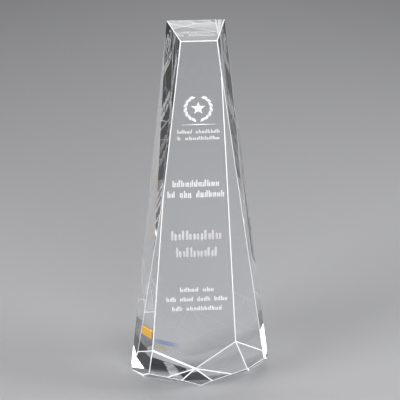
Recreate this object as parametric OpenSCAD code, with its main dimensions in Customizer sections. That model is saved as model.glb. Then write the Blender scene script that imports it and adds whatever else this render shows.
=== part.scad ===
// Tapered crystal award: one ground and polished block of optical crystal that stands on
// its own facet-cut foot, with sand-carved marks in its front face.
// Millimetres, +Z up, the front face looks towards -Y, the origin is under the block's middle.

/* [Tower] */
// Overall height
height = 254; // [203:1:305]
// Width between the planes of the two side faces where they meet the back face at the ground
base_w = 105.5; // [98:0.5:120]
// Depth between the front and back faces at the ground
base_depth = 57; // [50:0.5:66]
// Width of the top's back edge
top_back_w = 36; // [28:0.5:46]
// Width of the top's front edge
top_front_w = 22; // [17:0.5:27]
// Depth of the top
top_depth = 37; // [30:0.5:42]
// How far the front face leans back over the whole height
front_lean = 9; // [4:0.5:12]

/* [Long bevels] */
// Height at which the front left bevel runs out
bevel_left_z = 153; // [120:1:180]
// Height at which the front right bevel runs out
bevel_right_z = 234; // [190:1:245]
// Height of the front left bevel's outer corner, on the side face
bevel_left_side_z = 23.5; // [19:0.5:28]
// Height of the front right bevel's outer corner, on the side face
bevel_right_side_z = 19; // [15:0.5:23]
// How far the front left bevel's outer corner lies behind the front face's foot
bevel_left_reach = 21; // [18:0.5:24]
// How far the front right bevel's outer corner lies behind the front face's foot
bevel_right_reach = 23; // [20:0.5:27]
// Distance from the middle to where the back bevels meet the back face at the ground
back_bevel_x = 36; // [31:0.5:42]

/* [Foot facets] */
// Sideways place of the points where the front and back faces come lowest
vee_x = -4.5; // [-8:0.5:2]
// Height of the front face's lowest point
vee_z = 22; // [19:0.5:26]
// Distance from the middle to the front face's left shoulder
shoulder_left_x = 33; // [30:0.5:35]
// Height of the left shoulder
shoulder_left_z = 37.5; // [33:0.5:44]
// Distance from the middle to the front face's right shoulder
shoulder_right_x = 23; // [20:0.5:26]
// Height of the right shoulder
shoulder_right_z = 42.5; // [38:0.5:48]
// How far the foot's front tip is set back from the front face
foot_tip_in = 11.5; // [9:0.5:14]
// Distance from the middle to the foot's front left corner
foot_left_x = 39.5; // [37:0.5:42]
// How far that corner is set back from the front face
foot_left_in = 24.5; // [22:0.5:27]
// Distance from the middle to the foot's front right corner
foot_right_x = 34.5; // [32:0.5:37]
// How far that corner is set back from the front face
foot_right_in = 26.5; // [24:0.5:29]
// How far the foot's left side corner is set back from the front face
side_left_in = 33.5; // [31:0.5:36]
// How far the foot's right side corner is set back from the front face
side_right_in = 40.5; // [38:0.5:43]
// How far the front undercut facets flare outwards for each millimetre of height
undercut = 1.02; // [0.9:0.01:1.1]
// The same for the undercut facets at the two corners
corner_undercut = 0.76; // [0.6:0.01:0.85]
// Height of the undercut facets in front, at the foot's corners
undercut_z = 13.5; // [11:0.5:15]
// How far in front of the foot's left corner the left corner facet would meet the ground
corner_left_out = 3; // [1:0.5:5]
// How far in front of the foot's right corner the right corner facet would meet the ground
corner_right_out = 8; // [5:0.5:9]
// Height of the back face's lowest point
back_vee_z = 8; // [5:0.5:12]
// Height of the back face's two shoulders
back_shoulder_z = 21; // [15:0.5:28]
// How far the foot's back tip is set in from the back face
back_tip_in = 6; // [4:0.5:8]

/* [Sand-carved marks] */
// Depth of the sand-carved pockets
carve_depth = 0.6; // [0.4:0.05:1]
// Thickness of the frosted layer on each pocket's floor
frost_t = 0.3; // [0.2:0.05:0.35]
// Sideways place of the emblem and of the caption below it
emblem_x = -0.8; // [-3:0.1:3]
// Sideways place of the rows below the caption
rows_x = -2.8; // [-4:0.1:1]
// Height of the emblem's middle above the ground
emblem_z = 211; // [206:0.5:213]
// Overall width of the wreath
wreath_w = 19; // [14:0.5:20]
// Height of the middle of the caption's first row
caption_z = 195.8; // [191:0.1:197]
// Height of the middle of the title's first row
title_z = 160.6; // [155:0.1:172]
// Height of the middle of the name's first row
name_z = 124; // [119:0.1:134]
// Height of the middle of the message's first row
message_z = 83.8; // [81:0.1:94]
// Height of the strokes in the caption
caption_h = 3; // [2:0.1:3.4]
// Height of the strokes in the title
title_h = 5.2; // [3.5:0.1:5.8]
// Height of the strokes in the name
name_h = 8; // [5:0.1:9]
// Height of the strokes in the message
message_h = 4; // [2.6:0.1:4.6]

/* [Hidden] */
$fn = 48;

// A block larger than any cut, from which the faces are ground away.
stock = 3 * height;
front_angle = atan(front_lean / height);
front_foot_y = -base_depth / 2;
back_foot_y = base_depth / 2;
back_lean = base_depth - top_depth - front_lean;

// The front and back faces' places at a height.
function front_y(z) = front_foot_y + front_lean * z / height;
function back_y(z) = back_foot_y - back_lean * z / height;
function on_front_face(x, z) = [x, front_y(z), z];
function on_back_face(x, z) = [x, back_y(z), z];

// A side face's half width at a height and depth; it is the plane through the top's
// edge and the back face's foot.
side_flare = (top_back_w - top_front_w) / 2 / top_depth;
side_rise = (base_w - top_back_w) / 2 - side_flare * back_lean;
function side_x(y, z) =
    base_w / 2 - side_flare * (back_foot_y - y) - side_rise * z / height;
function on_side(s, y, z) = [s * side_x(y, z), y, z];

// A ground face's plane, as its outward direction and a point on it. The three points run
// anticlockwise seen from outside the block.
function plane(a, b, c) = let (n = cross(b - a, c - a)) [n / norm(n), a];
// The point where three planes meet.
function meet(p, q, r) =
    (p[0] * p[1] * cross(q[0], r[0]) + q[0] * q[1] * cross(r[0], p[0])
        + r[0] * r[1] * cross(p[0], q[0])) / (p[0] * cross(q[0], r[0]));

vee = on_front_face(vee_x, vee_z);
shoulder_left = on_front_face(-shoulder_left_x, shoulder_left_z);
shoulder_right = on_front_face(shoulder_right_x, shoulder_right_z);
bevel_left_corner = on_side(-1, front_foot_y + bevel_left_reach, bevel_left_side_z);
bevel_right_corner = on_side(1, front_foot_y + bevel_right_reach, bevel_right_side_z);

// The foot's corners on the ground, from the left side round the front to the right side.
side_left = on_side(-1, front_foot_y + side_left_in, 0);
foot_left = [-foot_left_x, front_foot_y + foot_left_in, 0];
foot_tip = [0, front_foot_y + foot_tip_in, 0];
foot_right = [foot_right_x, front_foot_y + foot_right_in, 0];
side_right = on_side(1, front_foot_y + side_right_in, 0);

// The way out, level and square to a ground line that runs anticlockwise round the foot.
function out_from(a, b) = cross(b - a, [0, 0, 1]) / norm(b - a);
// A facet that flares outwards from the ground line between two corners.
function undercut_facet(a, b, flare) = plane(a, b, a + flare * out_from(a, b) + [0, 0, 1]);
under_side_left = undercut_facet(side_left, foot_left, corner_undercut);
under_left = undercut_facet(foot_left, foot_tip, undercut);
under_right = undercut_facet(foot_tip, foot_right, undercut);
under_side_right = undercut_facet(foot_right, side_right, corner_undercut);

// The large foot facets under the front face: each runs down to the undercut facet's top.
facet_left = plane(
    foot_left + undercut_z * (undercut * out_from(foot_left, foot_tip) + [0, 0, 1]),
    vee, shoulder_left);
facet_right = plane(
    foot_right + undercut_z * (undercut * out_from(foot_tip, foot_right) + [0, 0, 1]),
    shoulder_right, vee);

// The corner facets under the long bevels.
corner_left = plane(foot_left + corner_left_out * out_from(side_left, foot_left),
                    shoulder_left, bevel_left_corner);
corner_right = plane(foot_right + corner_right_out * out_from(foot_right, side_right),
                     bevel_right_corner, shoulder_right);

// The kite-shaped facet at the tip, and the sliver of a facet on each side of it, which
// runs down from the front face's lowest point. A sliver takes a share of the lower edge
// of each of its neighbours.
kite_share = 0.12;
sliver_left_share = 0.4;
sliver_right_share = 0.55;
function part_way(a, b, share) = a + share * (b - a);
kite = plane(foot_tip, foot_tip + [1, 0, 0], vee);
meet_left = meet(kite, under_left, facet_left);
meet_right = meet(kite, under_right, facet_right);
kite_left = part_way(meet_left, foot_tip, kite_share);
kite_right = part_way(meet_right, foot_tip, kite_share);
sliver_left = part_way(meet_left, meet(facet_left, under_left, corner_left),
                       sliver_left_share);
sliver_right = part_way(meet_right, meet(facet_right, under_right, corner_right),
                        sliver_right_share);

back_vee = on_back_face(vee_x, back_vee_z);
back_tip = [vee_x, back_foot_y - back_tip_in, 0];
back_shoulder_left = on_back_face(-back_bevel_x, back_shoulder_z);
back_shoulder_right = on_back_face(back_bevel_x, back_shoulder_z);

// The block's middle in plan, which is put over the origin.
mid_x = (side_right[0] + side_left[0]) / 2;
mid_y = (front_y(vee_z) + back_y(back_vee_z)) / 2;

// Everything outside a plane.
module outside(p) {
    n = p[0];
    translate(p[1])
        rotate([0, acos(n[2]), atan2(n[1], n[0])])
            translate([-stock, -stock, 0])
                cube([2 * stock, 2 * stock, stock]);
}

module tower_block() {
    difference() {
        translate([-stock / 2, -stock / 2, 0])
            cube([stock, stock, height]);
        outside(plane(on_front_face(-1, 0), on_front_face(1, 0), on_front_face(0, height)));
        outside(plane(on_back_face(1, 0), on_back_face(-1, 0), on_back_face(0, height)));
        outside(plane(on_side(-1, 0, 0), on_side(-1, -1, 0), on_side(-1, 0, height)));
        outside(plane(on_side(1, -1, 0), on_side(1, 0, 0), on_side(1, 0, height)));
        // long bevels
        outside(plane(bevel_left_corner, shoulder_left,
                      on_side(-1, front_y(bevel_left_z), bevel_left_z)));
        outside(plane(shoulder_right, bevel_right_corner,
                      on_side(1, front_y(bevel_right_z), bevel_right_z)));
        outside(plane(on_back_face(-back_bevel_x, 0), side_left,
                      on_side(-1, back_y(height), height)));
        outside(plane(side_right, on_back_face(back_bevel_x, 0),
                      on_side(1, back_y(height), height)));
        // the foot's front
        outside(facet_left);
        outside(facet_right);
        outside(plane(sliver_left, kite_left, vee));
        outside(kite);
        outside(plane(kite_right, sliver_right, vee));
        outside(corner_left);
        outside(corner_right);
        outside(under_side_left);
        outside(under_left);
        outside(under_right);
        outside(under_side_right);
        // the foot's back
        outside(plane(back_tip, back_shoulder_left, back_vee));
        outside(plane(back_tip, back_vee, back_shoulder_right));
    }
}

// Draws in the front face's own plane: x to the right, y up the face, z out of the block.
module on_front() {
    translate([0, front_foot_y, 0])
        rotate([90 - front_angle, 0, 0])
            children();
}

// One upright stroke, pointed at both ends, with its foot on y = 0.
module stroke(x, w, h) {
    translate([x, 0])
        polygon([[0, 0], [w / 2, w / 2], [w / 2, h - w / 2], [0, h],
                 [-w / 2, h - w / 2], [-w / 2, w / 2]]);
}

// One mark of a row: a pair of strokes. A tall and a low one, two low ones, and a low and
// a tall one follow each other along the row.
stroke_w = 0.32;
stroke_x = 0.22;
low = 0.7;
module mark(kind, pitch, h) {
    stroke(-stroke_x * pitch, stroke_w * pitch, kind == 0 ? h : low * h);
    stroke(stroke_x * pitch, stroke_w * pitch, kind == 2 ? h : low * h);
}

// Which kind of pair stands at each place along a group. Each group starts one kind on.
kinds = 3;
kind_order = [0, 2, 0, 1, 2, 2, 1, 2, 0, 1, 1];

function total(list, i = 0) = i < len(list) ? list[i] + total(list, i + 1) : 0;

// A row of marks in groups, with a mark's width of space between groups. The row's middle
// is at the origin and its length is given.
module mark_row(groups, length, h) {
    slots = total(groups) + len(groups) - 1;
    pitch = length / slots;
    for (g = [0 : len(groups) - 1]) {
        first = total([for (i = [0 : g]) i < g ? groups[i] + 1 : 0]);
        for (i = [0 : groups[g] - 1])
            translate([(first + i - (slots - 1) / 2) * pitch, -h / 2])
                mark((kind_order[i % len(kind_order)] + g) % kinds, pitch, h);
    }
}

// The pocket that a mark is carved in, and the frosted layer on its floor.
module pocket() {
    on_front()
        translate([0, 0, -carve_depth])
            linear_extrude(2 * carve_depth)
                children();
}
module frost() {
    color("whitesmoke")
        translate([-mid_x, -mid_y, 0])
            on_front()
                translate([0, 0, -carve_depth])
                    linear_extrude(frost_t)
                        children();
}

// Emblem: a wreath of pointed leaves round a five-pointed star, over a plain rule.
leaf_l = wreath_w * 0.24;
leaf_r = leaf_l * 0.62;
leaf_off = leaf_l * 0.42;
wreath_r = wreath_w / 2 - leaf_l * 0.35;
leaves = 7;
leaf_first = 20;
leaf_step = 22;
leaf_tilt = 24;
star_r = wreath_w * 0.24;
star_waist = 0.42;
star_points = 5;
rule_drop = 1.2;
rule_half = wreath_w * 0.56;
rule_t = 0.35;
module leaf() {
    intersection() {
        translate([0, leaf_off])
            circle(r = leaf_r);
        translate([0, -leaf_off])
            circle(r = leaf_r);
    }
}
module wreath_half(s) {
    translate([emblem_x, emblem_z])
        for (i = [0 : leaves - 1])
            rotate(s * (leaf_first + i * leaf_step))
                translate([0, -wreath_r])
                    rotate(s * leaf_tilt)
                        leaf();
}
module star_outline() {
    translate([emblem_x, emblem_z])
        polygon([for (i = [0 : 2 * star_points - 1])
                    let (r = i % 2 == 0 ? star_r : star_r * star_waist,
                         a = i * 180 / star_points)
                        r * [sin(a), cos(a)]]);
}
module rule_outline() {
    translate([emblem_x, emblem_z - wreath_w / 2 - rule_drop])
        polygon([[-rule_half, 0], [0, rule_t], [rule_half, 0], [0, -rule_t]]);
}

// Row lengths, and the distance from one row to the next as a share of the stroke height.
caption_l = 26.5;
caption_lead = 1.45;
title_1_l = 30;
title_2_l = 36.5;
title_lead = 1.42;
name_1_l = 33.5;
name_2_l = 27.5;
name_lead = 1.56;
message_1_l = 22.7;
message_2_l = 40.5;
message_3_l = 33.2;
message_lead = 1.8;
module row(x, z, groups, length, h) {
    translate([x, z])
        mark_row(groups, length, h);
}
module caption_1() { row(emblem_x, caption_z, [5, 8], caption_l, caption_h); }
module caption_2() {
    row(emblem_x, caption_z - caption_lead * caption_h, [1, 9], caption_l, caption_h);
}
module title_1() { row(rows_x, title_z, [11], title_1_l, title_h); }
module title_2() {
    row(rows_x, title_z - title_lead * title_h, [2, 3, 7], title_2_l, title_h);
}
module name_1() { row(rows_x, name_z, [7], name_1_l, name_h); }
module name_2() { row(rows_x, name_z - name_lead * name_h, [6], name_2_l, name_h); }
module message_1() { row(rows_x, message_z, [5, 3], message_1_l, message_h); }
module message_2() {
    row(rows_x, message_z - message_lead * message_h, [3, 4, 4, 4], message_2_l, message_h);
}
module message_3() {
    row(rows_x, message_z - 2 * message_lead * message_h, [3, 10], message_3_l, message_h);
}

module crystal_tower() {
    color("aliceblue", 0.4)
        translate([-mid_x, -mid_y, 0])
            difference() {
                tower_block();
                pocket() wreath_half(1);
                pocket() wreath_half(-1);
                pocket() star_outline();
                pocket() rule_outline();
                pocket() caption_1();
                pocket() caption_2();
                pocket() title_1();
                pocket() title_2();
                pocket() name_1();
                pocket() name_2();
                pocket() message_1();
                pocket() message_2();
                pocket() message_3();
            }
}
module wreath_left() { frost() wreath_half(-1); }
module wreath_right() { frost() wreath_half(1); }
module star() { frost() star_outline(); }
module emblem_rule() { frost() rule_outline(); }
module caption_row_1() { frost() caption_1(); }
module caption_row_2() { frost() caption_2(); }
module title_row_1() { frost() title_1(); }
module title_row_2() { frost() title_2(); }
module name_row_1() { frost() name_1(); }
module name_row_2() { frost() name_2(); }
module message_row_1() { frost() message_1(); }
module message_row_2() { frost() message_2(); }
module message_row_3() { frost() message_3(); }

crystal_tower();
wreath_left();
wreath_right();
star();
emblem_rule();
caption_row_1();
caption_row_2();
title_row_1();
title_row_2();
name_row_1();
name_row_2();
message_row_1();
message_row_2();
message_row_3();
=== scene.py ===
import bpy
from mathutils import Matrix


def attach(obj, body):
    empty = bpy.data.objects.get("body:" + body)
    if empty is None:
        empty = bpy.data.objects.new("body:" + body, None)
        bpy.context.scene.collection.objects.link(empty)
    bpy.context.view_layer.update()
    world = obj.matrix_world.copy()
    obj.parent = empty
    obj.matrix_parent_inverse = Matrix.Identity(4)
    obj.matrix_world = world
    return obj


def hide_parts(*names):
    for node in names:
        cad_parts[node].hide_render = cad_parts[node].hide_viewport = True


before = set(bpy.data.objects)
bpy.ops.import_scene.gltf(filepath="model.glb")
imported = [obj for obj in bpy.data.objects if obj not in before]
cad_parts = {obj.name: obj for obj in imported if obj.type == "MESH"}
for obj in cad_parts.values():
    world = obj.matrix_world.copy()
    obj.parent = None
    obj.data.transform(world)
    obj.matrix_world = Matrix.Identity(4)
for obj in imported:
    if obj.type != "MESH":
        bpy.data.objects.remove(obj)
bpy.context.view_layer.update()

import math

import bmesh
import bpy
import numpy as np
from mathutils import Quaternion, Vector

mm = 0.001


# ---- Camera ----
# A long lens looks down on the award from the front, a little to its left, so that the
# top and the foot's facets both show. It is turned by a third of a degree about its axis.
aim = Vector((0.45, 1.1, 135.7)) * mm
distance = 810 * mm
look_down = math.radians(28.06)
side_step = math.radians(3.04)
camera_roll = math.radians(-0.36)
to_lens = Vector((
    -math.sin(side_step) * math.cos(look_down),
    -math.cos(side_step) * math.cos(look_down),
    math.sin(look_down),
))
lens = bpy.data.cameras.new("studio_camera")
lens.sensor_width = 36
lens.lens = 111.4
lens.clip_start = 0.05
camera = bpy.data.objects.new("studio_camera", lens)
camera.location = aim + to_lens * distance
camera.rotation_mode = "QUATERNION"
camera.rotation_quaternion = Quaternion(to_lens, camera_roll) @ to_lens.to_track_quat("Z", "Y")
bpy.context.scene.collection.objects.link(camera)
bpy.context.scene.camera = camera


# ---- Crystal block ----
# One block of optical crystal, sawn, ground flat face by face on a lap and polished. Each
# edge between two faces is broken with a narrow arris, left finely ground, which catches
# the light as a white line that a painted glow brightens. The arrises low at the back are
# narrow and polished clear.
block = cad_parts["crystal_tower"]
arris_width = 0.6 * mm
wide_arris = 1.7 * mm
foot_arris = 1.1 * mm
polished_arris = 0.12 * mm
hair = 0.015 * mm
shortest_edge = 0.5 * mm
smallest_face = 0.4 * mm * mm
same_way = 0.99995
merge_gap = 0.001 * mm
cut_gap = 0.0005 * mm
flat_within = math.radians(0.2)


def outer_faces(lump):
    """The outward direction and the reach of each flat face on the block's outside."""
    points = np.array([v.co for v in lump.verts])
    found = []
    for face in sorted(lump.faces, key=lambda f: -f.calc_area()):
        if face.calc_area() < smallest_face:
            break
        way = np.array(face.normal)
        reach = points[face.verts[0].index] @ way
        known = any(way @ other > same_way and abs(reach - far) < hair for other, far in found)
        if not known and (points @ way).max() < reach + hair:
            found.append((way, reach))
    return found, points


def arris_at(middle):
    """The width of the arris whose edge has this middle, in millimetres, and its finish:
    1 is ground and 0 is polished. The edge under the front face's left half is ground
    wider, and so are the edges low on the foot."""
    left_right, front_back, up = middle
    if front_back > 8 and up < 30:
        return polished_arris, 0
    if 1 < up < 17:
        return foot_arris, 1
    if left_right < -10 and front_back < -26 and 25 < up < 34:
        return wide_arris, 1
    return arris_width, 1


def shared_edges(faces, points):
    """A point on each edge that two outer faces share, the two directions, and the width
    and finish of its arris."""
    on_face = [np.abs(points @ way - reach) < hair for way, reach in faces]
    for i in range(len(faces)):
        for j in range(i):
            ends = points[on_face[i] & on_face[j]]
            if len(ends) > 1 and np.ptp(ends, axis=0).max() > shortest_edge:
                middle = (ends.min(axis=0) + ends.max(axis=0)) / 2 / mm
                yield ends[0], faces[i][0], faces[j][0], *arris_at(middle)


def grind_arris(lump, at, one_way, other_way, width, finish):
    """Grinds the edge between two faces down to a narrow flat with the finish given."""
    out = Vector(one_way + other_way).normalized()
    half_turn = math.acos(max(-1.0, min(1.0, float(one_way @ other_way)))) / 2
    depth = width / 2 * math.tan(half_turn)
    cut = bmesh.ops.bisect_plane(
        lump, geom=lump.verts[:] + lump.edges[:] + lump.faces[:], dist=cut_gap,
        plane_co=Vector(at) - out * depth, plane_no=out, clear_outer=True)
    rim = [g for g in cut["geom_cut"] if isinstance(g, bmesh.types.BMEdge)]
    for flat in bmesh.ops.holes_fill(lump, edges=rim, sides=0)["faces"]:
        flat.material_index = finish
        flat.normal_update()
        if flat.normal.dot(out) < 0:
            flat.normal_flip()


lump = bmesh.new()
lump.from_mesh(block.data)
bmesh.ops.remove_doubles(lump, verts=lump.verts, dist=merge_gap)
lump.verts.index_update()
lump.normal_update()
faces, points = outer_faces(lump)
for edge in list(shared_edges(faces, points)):
    grind_arris(lump, *edge)
bmesh.ops.dissolve_limit(
    lump, angle_limit=flat_within, verts=lump.verts, edges=lump.edges,
    delimit={"MATERIAL"})
bmesh.ops.triangulate(lump, faces=[f for f in lump.faces if len(f.verts) > 4])
cut_crystal = bpy.data.meshes.new("cut_crystal")
lump.to_mesh(cut_crystal)
lump.free()
cut_block = bpy.data.objects.new("cut_block", cut_crystal)
bpy.context.scene.collection.objects.link(cut_block)
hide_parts("crystal_tower")
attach(cut_block, "root")


def new_material(name):
    """A material, its node tree and its Principled shader."""
    made = bpy.data.materials.new(name)
    made.use_nodes = True
    return made, made.node_tree, made.node_tree.nodes["Principled BSDF"]


def wire(tree, *pairs):
    """Joins outputs to inputs, given as output, input, output, input."""
    for i in range(0, len(pairs), 2):
        tree.links.new(pairs[i], pairs[i + 1])


def between(tree, value, low, high, soft):
    """A mask that is 1 where a value lies between two limits, with soft ends."""
    rise = tree.nodes.new("ShaderNodeMapRange")
    rise.interpolation_type = "SMOOTHSTEP"
    rise.inputs["From Min"].default_value = low - soft
    rise.inputs["From Max"].default_value = low + soft
    fall = tree.nodes.new("ShaderNodeMapRange")
    fall.interpolation_type = "SMOOTHSTEP"
    fall.inputs["From Min"].default_value = high - soft
    fall.inputs["From Max"].default_value = high + soft
    fall.inputs["To Min"].default_value = 1
    fall.inputs["To Max"].default_value = 0
    both = tree.nodes.new("ShaderNodeMath")
    both.operation = "MULTIPLY"
    wire(tree, value, rise.inputs["Value"], value, fall.inputs["Value"],
         rise.outputs[0], both.inputs[0], fall.outputs[0], both.inputs[1])
    return both.outputs[0]


def slope_of(tree, position, direction):
    """How far along a direction a place on the block lies, in millimetres."""
    dot = tree.nodes.new("ShaderNodeVectorMath")
    dot.operation = "DOT_PRODUCT"
    dot.inputs[1].default_value = Vector(direction) / mm
    wire(tree, position, dot.inputs[0])
    return dot.outputs["Value"]


def tinted(tree, under, colour, *masks, ground=None):
    """Lays a colour over another, or over a plain ground, where every mask is 1."""
    share = masks[0]
    for mask in masks[1:]:
        product = tree.nodes.new("ShaderNodeMath")
        product.operation = "MULTIPLY"
        wire(tree, share, product.inputs[0], mask, product.inputs[1])
        share = product.outputs[0]
    mix = tree.nodes.new("ShaderNodeMix")
    mix.data_type = "RGBA"
    mix.inputs[6].default_value = (*(ground or water_clear), 1)
    mix.inputs[7].default_value = (*colour, 1)
    wire(tree, share, mix.inputs[0])
    if under is not None:
        wire(tree, under, mix.inputs[6])
    return mix.outputs[2]


# The crystal is water clear. The coloured light that the foot's corners split is painted
# into its colour: an amber patch low on the left bevel, a blue and an olive band beside it
# on the front face, and thin orange and blue streaks down the sides. They are painted
# light, not colour the crystal has.
water_clear = (0.985, 0.995, 1.0)
crystal, tree, shader = new_material("optical_crystal")
place = tree.nodes.new("ShaderNodeTexCoord").outputs["Object"]
x_mm = slope_of(tree, place, (1, 0, 0))
y_mm = slope_of(tree, place, (0, 1, 0))
z_mm = slope_of(tree, place, (0, 0, 1))
bevel_slope = slope_of(tree, place, (-0.7, 0, 1))
band_slope = slope_of(tree, place, (0.31, 0, 1))
front_side = between(tree, y_mm, -40, -6, 0.4)

# Painted split light on the sides: noise streaks, stretched up the block, that tint the side
# faces orange and blue.
stretch = tree.nodes.new("ShaderNodeMapping")
stretch.inputs["Scale"].default_value = (240, 240, 5)
streak = tree.nodes.new("ShaderNodeTexNoise")
streak.inputs["Scale"].default_value = 1.0
streak.inputs["Detail"].default_value = 1.0
painted_fire_ramp = tree.nodes.new("ShaderNodeValToRGB")
for at, colour in (
    (0.44, water_clear), (0.47, (1.0, 0.62, 0.28)), (0.5, (1.0, 0.95, 0.8)),
    (0.53, (0.45, 0.66, 1.0)), (0.56, water_clear),
):
    painted_fire_ramp.color_ramp.elements.new(at).color = (*colour, 1)
painted_fire_ramp.color_ramp.elements[0].color = (*water_clear, 1)
painted_fire_ramp.color_ramp.elements[-1].color = (*water_clear, 1)
facing = tree.nodes.new("ShaderNodeNewGeometry").outputs["True Normal"]
sideways = tree.nodes.new("ShaderNodeSeparateXYZ")
away = tree.nodes.new("ShaderNodeMath")
away.operation = "ABSOLUTE"
wire(tree, place, stretch.inputs[0], stretch.outputs[0], streak.inputs["Vector"],
     streak.outputs[0], painted_fire_ramp.inputs[0], facing, sideways.inputs[0],
     sideways.outputs[0], away.inputs[0])
on_sides = between(tree, away.outputs[0], 0.85, 1.1, 0.02)
up_the_sides = between(tree, z_mm, 95, 236, 12)
sides = tree.nodes.new("ShaderNodeMath")
sides.operation = "MULTIPLY"
faint = tree.nodes.new("ShaderNodeMath")
faint.operation = "MULTIPLY"
faint.inputs[1].default_value = 0.85
painted_side_fire = tree.nodes.new("ShaderNodeMix")
painted_side_fire.data_type = "RGBA"
painted_side_fire.inputs[6].default_value = (*water_clear, 1)
wire(tree, on_sides, sides.inputs[0], up_the_sides, sides.inputs[1],
     sides.outputs[0], faint.inputs[0], faint.outputs[0], painted_side_fire.inputs[0],
     painted_fire_ramp.outputs[0], painted_side_fire.inputs[7])
colour = painted_side_fire.outputs[2]
# Painted split light at the foot: an amber patch on the left bevel and a blue and an olive
# band on the front face.
on_bevel = between(tree, sideways.outputs[1], -0.93, -0.35, 0.02)
amber = (between(tree, bevel_slope, 69, 75.3, 0.3), between(tree, x_mm, -43, -33.9, 0.2),
         on_bevel)
colour = tinted(tree, colour, (1.0, 0.36, 0.0), front_side, *amber)
colour = tinted(tree, colour, (0.3, 0.42, 0.95), front_side,
                between(tree, band_slope, 33.8, 37.4, 0.5), between(tree, x_mm, -32.6, -18, 5))
colour = tinted(tree, colour, (0.86, 0.84, 0.5), front_side,
                between(tree, band_slope, 29.5, 33.4, 0.8), between(tree, x_mm, -32.6, -24, 2))
haze = tree.nodes.new("ShaderNodeTexNoise")
haze.inputs["Scale"].default_value = 45
haze.inputs["Detail"].default_value = 4
polish = tree.nodes.new("ShaderNodeMapRange")
polish.inputs["From Min"].default_value = 0.45
polish.inputs["From Max"].default_value = 0.8
polish.inputs["To Min"].default_value = 0.0
polish.inputs["To Max"].default_value = 0.012
# A painted glow: the amber patch also emits amber light, though it is no lamp.
dark = (0.0, 0.0, 0.0)
painted_amber_glow = tinted(tree, None, (1.0, 0.5, 0.02), front_side, *amber, ground=dark)
wire(tree, place, haze.inputs["Vector"], haze.outputs[0], polish.inputs["Value"],
     polish.outputs[0], shader.inputs["Roughness"], colour, shader.inputs["Base Color"],
     painted_amber_glow, shader.inputs["Emission Color"])
shader.inputs["Emission Strength"].default_value = 0.55
shader.inputs["IOR"].default_value = 1.52
shader.inputs["Transmission Weight"].default_value = 1.0


def build_grit():
    """The node group for ground and blasted crystal: fine pits that vary its white."""
    group = bpy.data.node_groups.new("blasted_grit", "ShaderNodeTree")
    for name, kind in (("Grain Scale", "NodeSocketFloat"), ("White", "NodeSocketColor"),
                       ("Shade", "NodeSocketColor"), ("Pit Depth", "NodeSocketFloat")):
        group.interface.new_socket(name, in_out="INPUT", socket_type=kind)
    for name, kind in (("Color", "NodeSocketColor"), ("Roughness", "NodeSocketFloat"),
                       ("Normal", "NodeSocketVector")):
        group.interface.new_socket(name, in_out="OUTPUT", socket_type=kind)
    given = group.nodes.new("NodeGroupInput").outputs
    made = group.nodes.new("NodeGroupOutput").inputs
    place = group.nodes.new("ShaderNodeTexCoord").outputs["Object"]
    grain = group.nodes.new("ShaderNodeTexNoise")
    grain.inputs["Detail"].default_value = 3
    cloud = group.nodes.new("ShaderNodeTexNoise")
    cloud.inputs["Scale"].default_value = 220
    blend = group.nodes.new("ShaderNodeMath")
    blend.operation = "MULTIPLY_ADD"
    blend.inputs[1].default_value = 0.5
    mix = group.nodes.new("ShaderNodeMix")
    mix.data_type = "RGBA"
    tone = group.nodes.new("ShaderNodeMapRange")
    tone.inputs["From Min"].default_value = 0.55
    tone.inputs["From Max"].default_value = 1.0
    rough = group.nodes.new("ShaderNodeMapRange")
    rough.inputs["To Min"].default_value = 0.55
    rough.inputs["To Max"].default_value = 0.85
    bump = group.nodes.new("ShaderNodeBump")
    bump.inputs["Strength"].default_value = 0.6
    wire(group, place, grain.inputs["Vector"], place, cloud.inputs["Vector"],
         given["Grain Scale"], grain.inputs["Scale"], cloud.outputs[0], blend.inputs[0],
         grain.outputs[0], blend.inputs[2], blend.outputs[0], tone.inputs["Value"],
         tone.outputs[0], mix.inputs[0], given["White"], mix.inputs[6],
         given["Shade"], mix.inputs[7], mix.outputs[2], made["Color"],
         grain.outputs[0], rough.inputs["Value"], rough.outputs[0], made["Roughness"],
         grain.outputs[0], bump.inputs["Height"], given["Pit Depth"], bump.inputs["Distance"],
         bump.outputs[0], made["Normal"])
    return group


grit = build_grit()


def ground_crystal(name, white, shade, grain_scale, pit_depth, glow):
    """Crystal whose surface is ground or blasted, so that it is white and matt. It is given a
    painted glow: emission that stands in for the light which the clear crystal behind it
    leads there."""
    material, tree, shader = new_material(name)
    pits = tree.nodes.new("ShaderNodeGroup")
    pits.node_tree = grit
    pits.inputs["White"].default_value = (*white, 1)
    pits.inputs["Shade"].default_value = (*shade, 1)
    pits.inputs["Grain Scale"].default_value = grain_scale
    pits.inputs["Pit Depth"].default_value = pit_depth
    wire(tree, pits.outputs["Color"], shader.inputs["Base Color"],
         pits.outputs["Roughness"], shader.inputs["Roughness"],
         pits.outputs["Normal"], shader.inputs["Normal"],
         pits.outputs["Color"], shader.inputs["Emission Color"])
    # A painted glow: emission that brightens the ground crystal.
    shader.inputs["Emission Strength"].default_value = glow
    return material


# The arrises are given a painted glow of 0.45, which brightens their white lines.
ground_edge = ground_crystal(
    "ground_arris", (0.98, 0.985, 0.99), (0.82, 0.85, 0.88), 2600, 0.01 * mm, 0.45)

cut_crystal.materials.append(crystal)
cut_crystal.materials.append(ground_edge)
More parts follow.
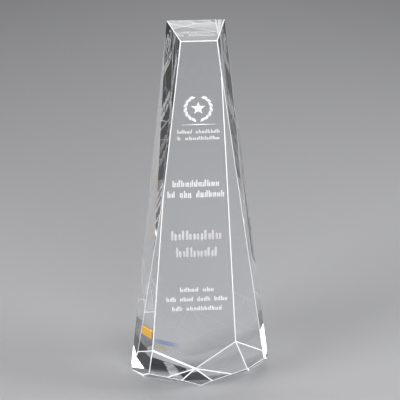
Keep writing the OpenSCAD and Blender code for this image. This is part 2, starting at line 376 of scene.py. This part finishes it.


# ---- Sand-carved marks ----
# Masked and blasted with fine grit, which leaves shallow pockets with matt white floors.
# The emblem, caption and title are cut deep and white, the name greyer, and the message
# between the two. Each is given a painted glow, least on the name and most on the message.
deep_frost = ground_crystal(
    "frosted_white", (0.98, 0.985, 0.99), (0.86, 0.87, 0.88), 3800, 0.03 * mm, 0.25)
light_frost = ground_crystal(
    "frosted_grey", (0.84, 0.83, 0.85), (0.66, 0.65, 0.68), 3800, 0.02 * mm, 0.14)
fine_frost = ground_crystal(
    "frosted_fine", (0.94, 0.94, 0.96), (0.8, 0.8, 0.83), 3800, 0.02 * mm, 0.32)
for name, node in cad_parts.items():
    if name != "crystal_tower":
        frost = deep_frost
        if name.startswith("name_"):
            frost = light_frost
        if name.startswith("message_"):
            frost = fine_frost
        node.data.materials.clear()
        node.data.materials.append(frost)


# ---- Floor and light ----
# A plain pale floor in a dim studio with soft boxes.
bpy.ops.mesh.primitive_plane_add(size=12)
floor = bpy.context.object
floor.name = "floor"
paper, tree, shader = new_material("pale_paper")
shader.inputs["Base Color"].default_value = (0.55, 0.55, 0.565, 1)
shader.inputs["Roughness"].default_value = 0.9
floor.data.materials.append(paper)

world = bpy.data.worlds.new("studio")
world.use_nodes = True
world.node_tree.nodes["Background"].inputs["Color"].default_value = (0.03, 0.031, 0.034, 1)
bpy.context.scene.world = world
bpy.context.scene.view_settings.view_transform = "Standard"


def soft_box(name, place, width, height, power):
    """A rectangular soft box that faces the award's middle."""
    data = bpy.data.lights.new(name, "AREA")
    data.shape = "RECTANGLE"
    data.size = width
    data.size_y = height
    data.energy = power
    box = bpy.data.objects.new(name, data)
    box.location = place
    box.rotation_mode = "QUATERNION"
    box.rotation_quaternion = (Vector(place) - aim).to_track_quat("Z", "Y")
    bpy.context.scene.collection.objects.link(box)


soft_box("soft_box_left", (-0.75, -0.4, 0.5), 0.4, 0.8, 5.5)
soft_box("soft_box_right", (0.8, -0.15, 0.45), 0.3, 0.8, 4.5)
soft_box("soft_box_front", (0.3, -0.95, 0.28), 0.5, 0.3, 4)
soft_box("soft_box_above", (0.0, 0.25, 1.0), 0.6, 0.4, 2.5)
soft_box("soft_box_behind", (0.055, 1.03, 0.63), 0.5, 0.3, 0.9)
